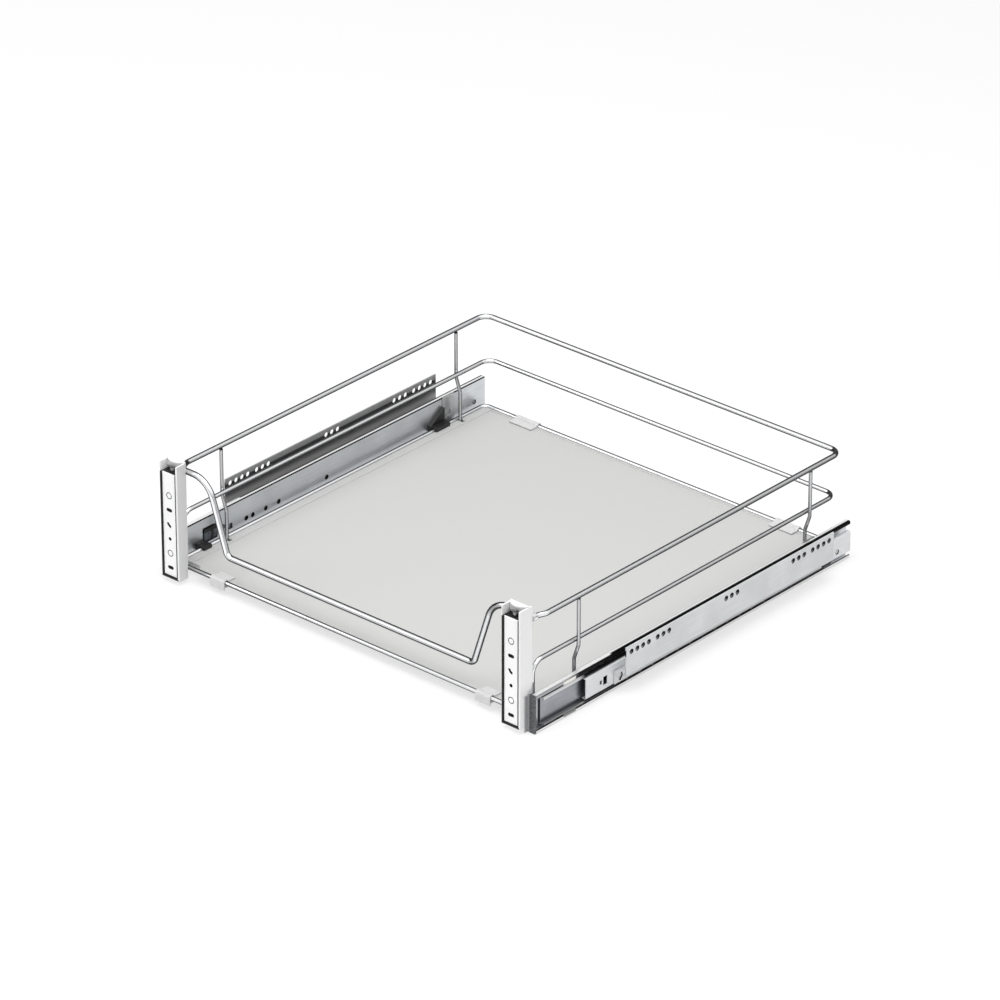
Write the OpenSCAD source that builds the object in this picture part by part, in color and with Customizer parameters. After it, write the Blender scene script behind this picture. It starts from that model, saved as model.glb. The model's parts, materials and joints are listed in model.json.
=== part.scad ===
// Pull out wire basket on two ball bearing slides, for the inside of a kitchen cabinet.
// X runs across the cabinet, Y from the front panel to the back, Z up.
// The origin is under the middle of the basket, level with the slides' lowest edge.
// Heights are measured from there, and depths from the front plane of the two posts.

/* [Cabinet] */
// Inside width between the cabinet's side walls
cabinet_w = 564; // [464:1:864]
// Gap between each mounting bracket and its side wall
cabinet_gap = 0.5; // [0.2:0.1:1.5]

/* [Slides] */
// Length of the member that is fixed to the basket
slide_len = 505; // [440:1:560]
// Height of the member that is fixed to the basket
slide_h = 44; // [43:0.5:48]
// Distance from the post's front plane to the slide's front end
slide_setback = 13; // [10:0.5:18]
// Length of the middle member
middle_len = 450; // [400:1:480]
// Distance from the basket member's front end to the middle member's
middle_setback = 10; // [4:1:20]
// Length of the member that is fixed to the cabinet
fixed_len = 429; // [380:1:440]
// Distance from the basket member's front end to the cabinet member's
fixed_setback = 73; // [60:1:74]
// Sheet thickness of the slide members
member_t = 1; // [0.8:0.1:1.2]
// Diameter of the balls between the basket member and the middle member
large_ball_d = 4.2; // [3.8:0.1:4.6]
// Diameter of the balls between the middle member and the cabinet member
small_ball_d = 3; // [2.6:0.1:3.4]
// Distance between neighbouring balls in a row
ball_pitch = 20; // [18:1:20]
// Distance that the basket slides forward
travel = 480; // [440:5:480]

/* [Mounting brackets] */
// Length of the bracket
bracket_len = 336; // [320:1:360]
// Distance from the cabinet member's front end to the bracket's
bracket_setback = 43; // [36:0.5:44]
// Width of the bracket from the slide to the side wall
bracket_w = 17; // [12:0.5:24]
// Height of the outer plate's upper edge
bracket_top_z = 58.4; // [52:0.1:64]
// Height of the level leg's underside
bracket_leg_z = 25; // [22:0.5:28]
// Sheet thickness of the bracket
bracket_t = 1.5; // [1:0.1:2]
// Diameter of the screw holes
screw_hole_d = 6; // [4:0.1:7]
// Distance between neighbouring screw holes in a group
screw_hole_pitch = 9.1; // [8:0.1:9.5]

/* [Posts] */
// Width of a post
post_w = 25.4; // [24:0.1:27]
// Depth of a post at its inner side
post_d = 14.4; // [13.5:0.1:14.6]
// Depth of a post at its outer side
post_outer_d = 18.5; // [17:0.1:20]
// Height of the post's lower end
post_bottom_z = 5.5; // [4:0.1:7]
// Height of the post above the top ring's wire
post_over_ring = 17.4; // [16:0.1:24]
// Wall thickness of a post
post_wall = 1.8; // [1.4:0.1:2]
// Distance between the holes in the face plate
face_pitch = 17; // [14:0.5:18]

/* [Basket wires] */
// Height of the top ring's wire
ring_z = 123.6; // [122:0.1:126]
// Depth of the top ring's rear wire
ring_rear_y = 513; // [480:1:560]
// Wire diameter of the top ring
ring_d = 6; // [5:0.1:6.4]
// Height of the lower ring's wire
lower_z = 71.1; // [60:0.1:90]
// Wire diameter of the lower ring
lower_d = 5; // [4:0.1:5.4]
// Wire diameter of the base frame
base_d = 5; // [4:0.1:5]
// Height of the base frame's wire
base_z = 14.3; // [14:0.1:16]
// Wire diameter of the cross wires
cross_d = 4; // [3:0.1:4.4]
// Depth of the front cross wire
front_cross_y = 92; // [88:1:100]
// Depth of the rear cross wire
rear_cross_y = 464; // [460:1:470]
// Wire diameter of the front wire that dips between the posts
dip_d = 7; // [5:0.1:7]
// Height of the dip wire's ends above the top ring's wire
dip_over_ring = 5.2; // [3.5:0.1:5.4]
// Height of the dip wire's low bar
dip_low_z = 47.1; // [30:0.1:90]
// Distance from a post to the low bar's corner
dip_low_inset = 53.4; // [40:0.1:100]
// Distance from a post to the upper bend of the dip wire
dip_high_inset = 26.9; // [20:0.1:36]

/* [Tray] */
// Thickness of the tray panel
tray_t = 3.5; // [2.5:0.1:3.6]
// Height of the raised rim along the panel's edge
tray_rim_h = 0.5; // [0.3:0.1:0.8]
// Length of each front clip along the wire
front_clip_len = 20; // [14:1:30]
// Length of each rear clip along the wire
rear_clip_len = 32; // [20:1:40]

/* [Hidden] */

// Cuts run past the surfaces that they open by this much
overrun = 1;
// Gap left at a seat between two pieces that stay together
seat = 0.05;
// Gap left where two wires are welded
weld = 0.05;
// Running gap between a ball and its race
ball_gap = 0.2;
// Running gap between two sliding sheets
slide_gap = 0.3;
// Facets of holes and balls
$fn = 32;
// Facets round a wire, and the largest turn between two stations of a bend
wire_facets = 16;
bend_step = 15;
steep_share = 0.9;

// Colours
chrome = [0.84, 0.85, 0.86];
zinc = [0.72, 0.74, 0.76];
bright_zinc = [0.86, 0.87, 0.88];
white_paint = [0.94, 0.94, 0.95];
tray_grey = [0.85, 0.85, 0.84];
clear_plastic = [0.9, 0.91, 0.9];
black_plastic = [0.08, 0.08, 0.09];
pale_plastic = [0.93, 0.93, 0.91];
steel = [0.7, 0.7, 0.71];

// Places across the width, each one side of the middle
overall_d = slide_setback + slide_len;
front_y = -overall_d / 2;
bracket_x = cabinet_w / 2 - cabinet_gap;
fixed_x = bracket_x - bracket_w;
slide_mid_z = slide_h / 2;

// Across the slide's depth, measured outwards from the basket member's web
lip_ball_share = 0.9;
lip_h = lip_ball_share * large_ball_d;
outer_race_s = member_t + ball_gap + large_ball_d / 2;
basket_member_d = outer_race_s + large_ball_d / 2 + ball_gap + member_t;
cage_t = 0.6;
outer_cage_s = member_t + slide_gap;
middle_s = outer_cage_s + cage_t + slide_gap;
inner_race_s = middle_s + member_t + ball_gap + small_ball_d / 2;
middle_d = member_t + 2 * ball_gap + small_ball_d + member_t;
inner_cage_s = middle_s + member_t + ball_gap;
fixed_s = inner_cage_s + cage_t + ball_gap;
fixed_proud = 2;
slide_d = middle_s + middle_d + fixed_proud;
fixed_d = slide_d - fixed_s;
slide_x = fixed_x - slide_d;

// Half heights of the three members and of the two ball rows
basket_member_h = slide_h / 2;
outer_row_h = basket_member_h - member_t - ball_gap - large_ball_d / 2;
middle_h = outer_row_h - large_ball_d / 2 - ball_gap;
inner_row_h = middle_h - member_t - ball_gap - small_ball_d / 2;
fixed_h = inner_row_h - small_ball_d / 2 - ball_gap;
middle_lip = 3;
member_bend = 1.6;

// Depths of the members' ends
basket_member_y = slide_setback;
middle_y = basket_member_y + middle_setback;
fixed_y = basket_member_y + fixed_setback;
cage_clearance = 4;
outer_cage_y = middle_y + travel / 4 + cage_clearance;
outer_cage_count = 12;
inner_cage_y = fixed_y + travel / 4 + cage_clearance;
inner_cage_count = 7;
pocket_gap = 0.1;

// Mounting bracket
bracket_bend = 1.5;
bracket_y = fixed_y + bracket_setback;
bracket_foot_z = 10.5;
bracket_foot_y = 6;
screw_hole_drop = 7;
hole_group_counts = [4, 3, 3, 3, 4];
hole_group_shares = [-0.435, -0.326, 0, 0.326, 0.435];
rivet_shares = [0.12, 0.5, 0.88];
rivet_z = 17.5;
rivet_d = 4;
rivet_gap = 0.05;
rivet_head_d = 7;
rivet_head_t = 1;
rear_hole_d = 5;
rear_hole_inset = 22;
key_hole_d = 8;
key_slot_w = 3.4;
key_slot_h = 5.5;
key_inset = 9;
leg_notch_len = 10;

// Two slots punched side by side near the cabinet member's front end
punch_insets = [21.8, 27.2];
punch_widths = [3.4, 6.2];
punch_heights = [4.7, 9.9];
punch_drop = 1.6;

// Basket member's web
web_hole_shares = [0.24, 0.26, 0.3, 0.34, 0.49, 0.965];
web_hole_z = 19.1;
web_hole_d = 4.6;
window_y = 67;
window_len = 23;
window_z = 14;
window_h = 18.5;
square_hole_y = 105;
square_hole_len = 8;
square_hole_z = 15.5;
square_hole_h = 7;
buffer_y = 55;
buffer_len = 19;
lip_cut_top = basket_member_h - member_bend;
buffer_web = 1.6;
rear_buffer_len = 12;
rear_buffer_inset = 0.1;

// Release lever in the window
lever_t = 1;
lever_gap = 0.2;
lever_h = 5;
lever_pin_d = 4;
lever_pin_gap = 0.06;
lever_pin_inset = 8;
lever_tab_len = 19;
lever_tab_h = 13.3;
lever_tab_in = 0.3;
lever_tab_r = 1;

// Places of the posts and wires
post_gap = 4.1;
post_x = slide_x - post_gap;
post_in_x = post_x - post_w;
post_top_z = ring_z + post_over_ring;
carrier_inset = 3.4;
carrier_x = post_x - carrier_inset;
carrier_w = 13;
carrier_in_x = carrier_x - carrier_w;
carrier_wall = 0.9;
carrier_rear_y = 23.5;
carrier_low_z = 8;
carrier_over_ring = 10.4;
ring_slide_gap = 1.9;
ring_x = slide_x - ring_slide_gap - ring_d / 2;
lower_inset = 5.4;
lower_x = ring_x - lower_inset;
base_slide_gap = 4.6;
base_x = slide_x - base_slide_gap - base_d / 2;
upright_x = lower_x + lower_d / 2 + weld + cross_d / 2;
foot_x = base_x - base_d / 2 - weld - cross_d / 2;
ring_bend = 13;
lower_front_bend = 14;
foot_bend = 6;
kink_bend = 8;
kink_slope = 3;
dip_high_bend = 28;
dip_low_bend = 8;
end_gap = 0.1;
leg_y = carrier_rear_y + end_gap + lower_d / 2;
base_front_y = carrier_rear_y - carrier_wall - end_gap - base_d / 2;
base_bend = ring_bend - base_d;
base_rear_inset = 3.5;
base_rear_y = ring_rear_y - base_rear_inset;
dip_y = carrier_rear_y - carrier_wall - end_gap - dip_d / 2;
dip_end_z = ring_z + dip_over_ring;
wire_end_x = carrier_x - carrier_wall - end_gap;
ring_jog_w = 4.2;
ring_end_x = ring_x - ring_jog_w;
ring_end_y = carrier_rear_y + end_gap;
ring_jog_y = 41;
ring_jog_len = 10;
ring_jog_bend = 11;
sleeve_len = 5;
sleeve_wall = 1.2;
sleeve_gap = 0.05;

// Post details
post_corner = 1.2;
face_gap = 1.8;
face_recess = 1;
face_t = 1;
face_top_drop = 11;
face_top_z = post_top_z - face_top_drop;
face_first_drop = 26.3;
face_ring_d = 7.8;
face_slot_w = 8;
face_slot_h = 4;
face_small_d = 4;
kidney_r = 5;
kidney_w = 3;
kidney_angle = 75;
face_rivet_gap = 0.9;
face_rivet_shank_d = 4;
insert_gap = 0.1;
insert_leg_t = 1.5;
insert_front_y = 0.15;
insert_web_t = 2;
insert_top_t = 2;
pilot_d = 2.6;
lid_gap = 0.05;
lid_t = 1.4;
lid_reach = 8;
lid_arch_r = (post_w * post_w / 4 + lid_reach * lid_reach) / (2 * lid_reach);
lid_tongue_t = 1.4;
lid_tongue_h = 8;
cap_screw_d = 6;
cap_screw_y = 7.8;
cap_screw_drop = 6;
cap_screw_len = 12;
cap_screw_shank_d = 3.4;
cap_screw_head_h = 3;
cap_slot_w = 1.2;

// Tray and clips
tray_gap = 0.3;
tray_drop = 0.3;
tray_z = base_z - tray_drop;
tray_rim_w = 3;
tray_notch_gap = 8.4;
tray_notch_x = carrier_in_x - tray_notch_gap;
tray_notch_r = 7;
tray_leg_gap = 0.8;
tray_notch_y = leg_y + lower_d / 2 + tray_leg_gap;
clip_t = 1.2;
clip_gap = 0.1;
front_clip_inset = 39.4;
front_clip_x = post_in_x - front_clip_inset;
rear_clip_inset = 63.8;
rear_clip_x = base_x - rear_clip_inset;
tray_corner_r = base_bend - base_d / 2 - tray_gap;
clip_tongue = 11;
clip_tab_h = 5;

// Rear hook and the two catches that hold the base frame on each slide
hook_y = 447;
hook_w = 19;
hook_t = 1.2;
hook_reach = 9;
hook_slot_w = 6;
hook_slot_h = 8;
catch_arm_t = 2;
catch_nose_w = 3;
catch_reach = 12.6;
front_catch_y = 56;
front_catch_len = 12;
rear_catch_y = 424;
rear_catch_len = 22.5;
rear_catch_top_z = 34;
rear_catch_knee_y_share = 0.55;
rear_catch_knee_z_share = 0.8;
front_catch_top_z = 19.5;

// The basket is drawn from the posts' front plane and centred on the origin by this shift
module placed() {
    translate([0, front_y, 0]) children();
}

// A piece of the left side is the mirror of the right one
module on_left() {
    placed() mirror([1, 0, 0]) children();
}

// A cylinder along X, from x to x + len
module rod_x(x, y, z, d, len) {
    translate([x, y, z]) rotate([0, 90, 0]) cylinder(d = d, h = len);
}

// A cylinder along Y, from y to y + len
module rod_y(x, y, z, d, len) {
    translate([x, y, z]) rotate([-90, 0, 0]) cylinder(d = d, h = len);
}

// An outline drawn in X and Z, carried along Y from y to y + len
module along_y(y, len) {
    translate([0, y + len, 0]) rotate([90, 0, 0]) linear_extrude(len) children();
}

// An outline drawn in Y and Z, carried along X from x to x + len
module along_x(x, len) {
    translate([x, 0, 0]) rotate([90, 0, 90]) linear_extrude(len) children();
}

// A rectangle with four round corners, from its lower left corner
module round_rect(w, h, r) {
    translate([r, 0]) square([w - 2 * r, h]);
    translate([0, r]) square([w, h - 2 * r]);
    for (x = [r, w - r], y = [r, h - r]) translate([x, y]) circle(r);
}

// A quarter of a ring in the first quadrant
module quarter_ring(r, t) {
    intersection() {
        difference() {
            circle(r + t);
            circle(r);
        }
        square([r + t, r + t]);
    }
}

// A slot with round ends, centred, its length along the first axis
module slot_outline(len, w) {
    translate([-(len - w) / 2, -w / 2]) square([len - w, w]);
    for (side = [-1, 1]) translate([side * (len - w) / 2, 0]) circle(w / 2);
}

// Section of a rolled channel that opens to the right, its web on the left edge and level
// with the middle, with lips that turn back across the mouth
module channel_section(depth, half_h, lip) {
    difference() {
        translate([0, -half_h]) round_rect(depth, 2 * half_h, member_bend);
        translate([member_t, -half_h + member_t])
            round_rect(depth - 2 * member_t, 2 * (half_h - member_t), member_bend - member_t);
        translate([depth / 2, -half_h + lip]) square([depth, 2 * (half_h - lip)]);
    }
}

// Unit vector from one point to another
function unit(v) = v / norm(v);
// Any unit vector square to v, found from the X axis where v is steep
function square_to(v) = unit(cross(v, abs(v[2]) > steep_share * norm(v) ? [1, 0, 0] : [0, 0, 1]));
// Angle between two directions
function turn(u, v) = acos(max(-1, min(1, u * v)));
// Length that a bend takes off each of its two straight runs
function bend_run(u, v, r) = r * tan(turn(u, v) / 2);

// Stations round the bend at corner p, each a point and its direction
function bend_stations(p, u, v, r) =
    let(angle = turn(u, v), steps = ceil(angle / bend_step),
        centre = p + unit(v - u) * r / cos(angle / 2), a = unit(p - u * bend_run(u, v, r) - centre))
    [for (k = [0:steps]) let(f = angle * k / steps)
        [centre + r * (a * cos(f) + u * sin(f)), u * cos(f) - a * sin(f)]];

// Stations along straight runs between points, bent to a radius at each inner point
function wire_stations(points, radii) =
    let(last = len(points) - 1, dirs = [for (i = [0:last - 1]) unit(points[i + 1] - points[i])])
    concat([[points[0], dirs[0]]],
        [for (i = [1:last - 1]) each bend_stations(points[i], dirs[i - 1], dirs[i], radii[i - 1])],
        [[points[last], dirs[last - 1]]]);

// What is left of v square to direction t, as a unit vector
function squared(v, t) = unit(v - (v * t) * t);

// A round wire: a circle carried along the stations without twist
module wire(points, d, radii) {
    stations = wire_stations(points, radii);
    last = len(stations) - 1;
    sides = [for (i = 0, u = square_to(stations[0][1]); i <= last; i = i + 1,
        u = i <= last ? squared(u, stations[i][1]) : u) u];
    rim = [for (i = [0:last]) let(u = sides[i], w = cross(stations[i][1], u))
        for (k = [0:wire_facets - 1]) let(a = 360 * k / wire_facets)
            stations[i][0] + d / 2 * (u * cos(a) + w * sin(a))];
    tube = [for (i = [0:last - 1], k = [0:wire_facets - 1])
        let(n = (k + 1) % wire_facets, lo = i * wire_facets, hi = lo + wire_facets)
        each [[lo + k, hi + k, hi + n], [lo + k, hi + n, lo + n]]];
    ends = [for (k = [1:wire_facets - 2]) each [[0, k, k + 1],
        [last * wire_facets, last * wire_facets + k + 1, last * wire_facets + k]]];
    polyhedron(rim, concat(tube, ends));
}

// A list followed by its mirror across the middle plane
function mirrored(points) =
    concat(points, [for (i = [len(points) - 1:-1:0]) [-points[i][0], points[i][1], points[i][2]]]);
// A list followed by itself in reverse order
function there_and_back(list) = concat(list, [for (i = [len(list) - 1:-1:0]) list[i]]);

// Z shaped bracket: outer plate on the side wall, level leg, inner flange on the slide
module bracket_section() {
    r = bracket_bend;
    t = bracket_t;
    leg_top = bracket_leg_z + t;
    translate([fixed_x, bracket_foot_z]) square([t, leg_top - r - t - bracket_foot_z]);
    translate([fixed_x + r + t, leg_top - r - t]) mirror([1, 0]) quarter_ring(r, t);
    translate([fixed_x + r + t, bracket_leg_z]) square([bracket_w - 2 * (r + t), t]);
    translate([bracket_x - r - t, bracket_leg_z + r + t]) mirror([0, 1]) quarter_ring(r, t);
    translate([bracket_x - t, bracket_leg_z + r + t]) square([t, bracket_top_z - bracket_leg_z - r - t]);
}

// A hole along X at each rivet between the bracket and the cabinet member
module at_rivets() {
    for (share = rivet_shares) translate([0, bracket_y + share * bracket_len, rivet_z]) children();
}

module mounting_bracket() {
    plate_mid = bracket_y + bracket_len / 2;
    hole_z = bracket_top_z - screw_hole_drop;
    key_y = bracket_y + key_inset;
    difference() {
        along_y(bracket_y, bracket_len) bracket_section();
        for (g = [0:len(hole_group_counts) - 1], i = [0:hole_group_counts[g] - 1])
            rod_x(bracket_x - bracket_t - overrun,
                plate_mid + hole_group_shares[g] * bracket_len
                    + (i - (hole_group_counts[g] - 1) / 2) * screw_hole_pitch,
                hole_z, screw_hole_d, bracket_t + 2 * overrun);
        at_rivets() rod_x(fixed_x - overrun, 0, 0, rivet_d + 2 * rivet_gap, bracket_t + 2 * overrun);
        rod_x(fixed_x - overrun, key_y, rivet_z, key_hole_d, bracket_t + 2 * overrun);
        translate([fixed_x - overrun, key_y - key_slot_w / 2, rivet_z - key_slot_h])
            cube([bracket_t + 2 * overrun, key_slot_w, key_slot_h]);
        translate([fixed_x + bracket_t + bracket_bend, bracket_y - overrun, bracket_leg_z - overrun])
            cube([bracket_w - 2 * (bracket_t + bracket_bend), leg_notch_len + overrun,
                bracket_t + 2 * overrun]);
    }
}

// Member fixed to the cabinet: a narrow channel that opens towards the basket
module cabinet_member() {
    difference() {
        along_y(fixed_y, fixed_len) translate([fixed_x, slide_mid_z]) mirror([1, 0])
            channel_section(fixed_d, fixed_h, member_t);
        at_rivets()
            rod_x(fixed_x - member_t - overrun, 0, 0, rivet_d + 2 * rivet_gap, member_t + 2 * overrun);
        rod_x(fixed_x - member_t - overrun, fixed_y + fixed_len - rear_hole_inset, rivet_z,
            rear_hole_d, member_t + 2 * overrun);
        for (i = [0, 1])
            translate([fixed_x - member_t - overrun, fixed_y + punch_insets[i],
                slide_mid_z - punch_heights[i] / 2 - punch_drop])
                cube([member_t + 2 * overrun, punch_widths[i], punch_heights[i]]);
    }
}

module bracket_rivets() {
    at_rivets() {
        rod_x(fixed_x - member_t - seat - rivet_head_t, 0, 0, rivet_head_d, rivet_head_t);
        rod_x(fixed_x - member_t - seat - rivet_head_t / 2, 0, 0, rivet_d,
            rivet_head_t + member_t + bracket_t + 2 * seat);
        rod_x(fixed_x + bracket_t + seat, 0, 0, rivet_head_d, rivet_head_t);
    }
}

// Plastic stop behind the middle member, pushed over the cabinet member's flanges
module rear_buffer() {
    stop_s = middle_s + rear_buffer_inset;
    stop_h = middle_h + member_t / 2;
    y = middle_y + middle_len + slide_gap;
    along_y(y, rear_buffer_len) difference() {
        translate([slide_x + stop_s, slide_mid_z - stop_h])
            round_rect(middle_s + middle_d - stop_s, 2 * stop_h, member_bend);
        translate([slide_x + fixed_s - seat, slide_mid_z - fixed_h - seat])
            square([fixed_d + overrun, 2 * (fixed_h + seat)]);
    }
}

module middle_member() {
    along_y(middle_y, middle_len) translate([slide_x + middle_s, slide_mid_z])
        channel_section(middle_d, middle_h, middle_lip);
}

// Places of the balls of one slide, in two rows above and below the middle
module at_balls(y, count, s, row_h) {
    for (i = [0:count - 1], side = [-1, 1])
        translate([slide_x + s, y + (i + 0.5) * ball_pitch, slide_mid_z + side * row_h]) children();
}

// Thin sheet that keeps the balls of one slide at their pitch
module ball_cage(y, count, s, cage_d, race_s, row_h, ball_d) {
    difference() {
        along_y(y, count * ball_pitch) translate([slide_x + s, slide_mid_z]) difference() {
            translate([0, -row_h - cage_t / 2]) square([cage_d, 2 * row_h + cage_t]);
            translate([cage_t, -row_h + cage_t / 2]) square([cage_d, 2 * row_h - cage_t]);
        }
        at_balls(y, count, race_s, row_h) cylinder(d = ball_d + 2 * pocket_gap, h = ball_d, center = true);
    }
}

module outer_cage() {
    ball_cage(outer_cage_y, outer_cage_count, outer_cage_s,
        basket_member_d - member_t - slide_gap - outer_cage_s, outer_race_s, outer_row_h, large_ball_d);
}

module outer_balls() {
    at_balls(outer_cage_y, outer_cage_count, outer_race_s, outer_row_h) sphere(d = large_ball_d);
}

module inner_cage() {
    ball_cage(inner_cage_y, inner_cage_count, inner_cage_s,
        middle_s + middle_d - member_t - slide_gap - inner_cage_s, inner_race_s, inner_row_h, small_ball_d);
}

module inner_balls() {
    at_balls(inner_cage_y, inner_cage_count, inner_race_s, inner_row_h) sphere(d = small_ball_d);
}

// Member fixed to the basket: the widest channel, with a window for the release lever
module basket_member() {
    pin_y = window_y + window_len + lever_pin_inset;
    pin_z = window_z + window_h / 2;
    difference() {
        along_y(basket_member_y, slide_len) translate([slide_x, slide_mid_z])
            channel_section(basket_member_d, basket_member_h, lip_h);
        for (share = web_hole_shares)
            rod_x(slide_x - overrun, basket_member_y + share * slide_len, web_hole_z, web_hole_d,
                member_t + 2 * overrun);
        translate([slide_x - overrun, window_y, window_z])
            cube([member_t + 2 * overrun, window_len, window_h]);
        translate([slide_x - overrun, square_hole_y, square_hole_z])
            cube([member_t + 2 * overrun, square_hole_len, square_hole_h]);
        rod_x(slide_x - overrun, pin_y, pin_z, lever_pin_d + 2 * lever_pin_gap, member_t + 2 * overrun);
        for (side = [-1, 1])
            translate([slide_x + basket_member_d - member_t - seat, buffer_y,
                slide_mid_z + (side > 0 ? 0 : -lip_cut_top)])
                cube([member_t + seat + overrun, buffer_len, lip_cut_top]);
    }
}

// Two plastic stops for the ball cage, one in each run of the basket member. Each has a pad that
// fills the cut in the member's lip
module front_buffers() {
    low = middle_h + slide_gap;
    high = basket_member_h - member_t - seat;
    width = basket_member_d - 2 * member_t - 2 * seat;
    for (side = [-1, 1])
        translate([slide_x + member_t + seat, 0, slide_mid_z + (side > 0 ? low : -high)]) difference() {
            union() {
                along_y(buffer_y, buffer_len) round_rect(width, high - low, member_bend - member_t);
                translate([width / 2, buffer_y + seat, side > 0 ? 0 : high - lip_cut_top + seat])
                    cube([width / 2 + member_t + seat, buffer_len - 2 * seat, lip_cut_top - seat - low]);
            }
            translate([buffer_web, buffer_y + buffer_len / 3, -overrun])
                cube([width - 2 * buffer_web, buffer_len / 3, high - low + 2 * overrun]);
        }
}

// Flat lever on the basket side of the web. Its pin turns in the web, its tab fills the window
module release_lever() {
    pin_y = window_y + window_len + lever_pin_inset;
    pin_z = window_z + window_h / 2;
    plate_x = slide_x - lever_gap - lever_t;
    tab_y = window_y + (window_len - lever_tab_len) / 2;
    arm_y = tab_y + lever_tab_len / 2;
    along_x(plate_x, lever_t) union() {
        translate([pin_y, pin_z]) circle(d = lever_h);
        translate([arm_y, pin_z - lever_h / 2]) square([pin_y - arm_y, lever_h]);
        translate([arm_y, pin_z]) circle(d = lever_h);
    }
    along_x(slide_x - lever_gap - lever_tab_in, lever_tab_in + lever_gap + member_t)
        translate([tab_y, pin_z - lever_tab_h / 2]) round_rect(lever_tab_len, lever_tab_h, lever_tab_r);
    rod_x(plate_x + lever_t / 2, pin_y, pin_z, lever_pin_d, lever_t / 2 + lever_gap + member_t);
}

// Angle plate that joins the slide's front end to the post's side
module slide_bracket() {
    t = bracket_t;
    x = post_x + seat;
    along_y(basket_member_y - t - seat, t) translate([x, 0])
        round_rect(slide_x + basket_member_d - x, slide_h, post_corner);
    translate([x, bracket_foot_y, post_corner])
        cube([t, post_outer_d - bracket_foot_y, slide_h - 2 * post_corner]);
}

// Black catch on the slide's web. Its arm reaches over the base frame's wire
module catch_section(top_z) {
    wire_top = base_z + base_d / 2 + weld;
    back = slide_x - seat;
    translate([base_x + base_d / 2 + weld, wire_top - base_d])
        square([back - base_x - base_d / 2 - weld, top_z - wire_top + base_d]);
    translate([back - catch_reach, wire_top]) square([catch_reach, catch_arm_t]);
    translate([back - catch_reach, tray_z + seat + tray_rim_h])
        square([catch_nose_w - 2 * tray_gap, wire_top - tray_z - seat - tray_rim_h + catch_arm_t]);
}

module front_catch() {
    along_y(front_catch_y, front_catch_len) catch_section(front_catch_top_z);
}

// The rear catch rises to a point beside the hook, like a ramp
module rear_catch() {
    y = rear_catch_y;
    foot_z = base_z - base_d;
    nose_z = base_z + base_d / 2 + weld + catch_arm_t;
    knee = [y + rear_catch_knee_y_share * rear_catch_len, rear_catch_knee_z_share * rear_catch_top_z];
    intersection() {
        along_y(y, rear_catch_len) catch_section(rear_catch_top_z);
        along_x(slide_x - catch_reach - overrun, catch_reach + 2 * overrun)
            polygon([[y, foot_z], [y + rear_catch_len, foot_z], [y + rear_catch_len, rear_catch_top_z],
                knee, [y, nose_z]]);
    }
}

// Steel strip on the slide's web, turned in at the foot to carry the base frame's side wire
module rear_hook() {
    back = slide_x - seat;
    foot_top = base_z - base_d / 2 - weld;
    slot_y = hook_y + (hook_w - hook_slot_w) / 2;
    r = hook_t;
    difference() {
        along_y(hook_y, hook_w) union() {
            translate([back - hook_t, foot_top + r]) square([hook_t, slide_h - foot_top - r]);
            translate([back - hook_t - r, foot_top + r]) mirror([0, 1]) quarter_ring(r, hook_t);
            translate([back - hook_reach, foot_top - hook_t]) square([hook_reach - hook_t - r, hook_t]);
        }
        translate([back - hook_t - overrun, slot_y, web_hole_z])
            cube([hook_t + 2 * overrun, hook_slot_w, hook_slot_h]);
    }
}

// Places of the holes down the face plate, with the index of each from the top
function face_z(i) = face_top_z - face_first_drop - i * face_pitch;
face_mid_x = post_x - post_w / 2;
face_y = face_recess;
web_y = face_recess + face_t + seat;

// Slot, kidney and small hole that take the front panel's screws, from y to y + len
module panel_screw_holes(y, len) {
    for (i = [1, 5])
        along_y(y, len) translate([face_mid_x, face_z(i)]) slot_outline(face_slot_w, face_slot_h);
    along_y(y, len) translate([face_mid_x + kidney_r / 2, face_z(2) + kidney_r / 2]) kidney_outline();
    rod_y(face_mid_x, y, face_z(3), face_small_d, len);
}

// A slot that follows a circle, from the left of its centre round to below it
module kidney_outline() {
    start = 180 + (90 - kidney_angle) / 2;
    intersection() {
        difference() {
            circle(kidney_r + kidney_w / 2);
            circle(kidney_r - kidney_w / 2);
        }
        polygon([[0, 0], 2 * kidney_r * [cos(start), sin(start)], 2 * kidney_r * [-1, -1],
            2 * kidney_r * [cos(start + kidney_angle), sin(start + kidney_angle)]]);
    }
}

// Post from above: two side walls, of which the outer one runs further back, and a rear wall
module post_plan() {
    difference() {
        union() {
            translate([post_in_x, 0]) round_rect(post_w, post_d, post_corner);
            translate([post_x - post_wall, post_corner]) square([post_wall, post_outer_d - post_corner]);
        }
        translate([post_in_x + post_wall, -overrun])
            square([post_w - 2 * post_wall, post_d - post_wall + overrun]);
    }
}

module post() {
    difference() {
        union() {
            translate([0, 0, post_bottom_z]) linear_extrude(post_top_z - post_bottom_z) post_plan();
            translate([post_in_x + post_wall / 2, post_corner, post_bottom_z])
                cube([post_w - post_wall, post_d - 2 * post_corner, post_wall]);
            translate([post_in_x + post_corner, 0, post_bottom_z])
                cube([post_w - 2 * post_corner, post_d, post_wall]);
        }
        for (i = [0, 4])
            rod_y(face_mid_x, post_d - post_wall - overrun, face_z(i), face_rivet_shank_d + 2 * rivet_gap,
                post_wall + 2 * overrun);
    }
}

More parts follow.
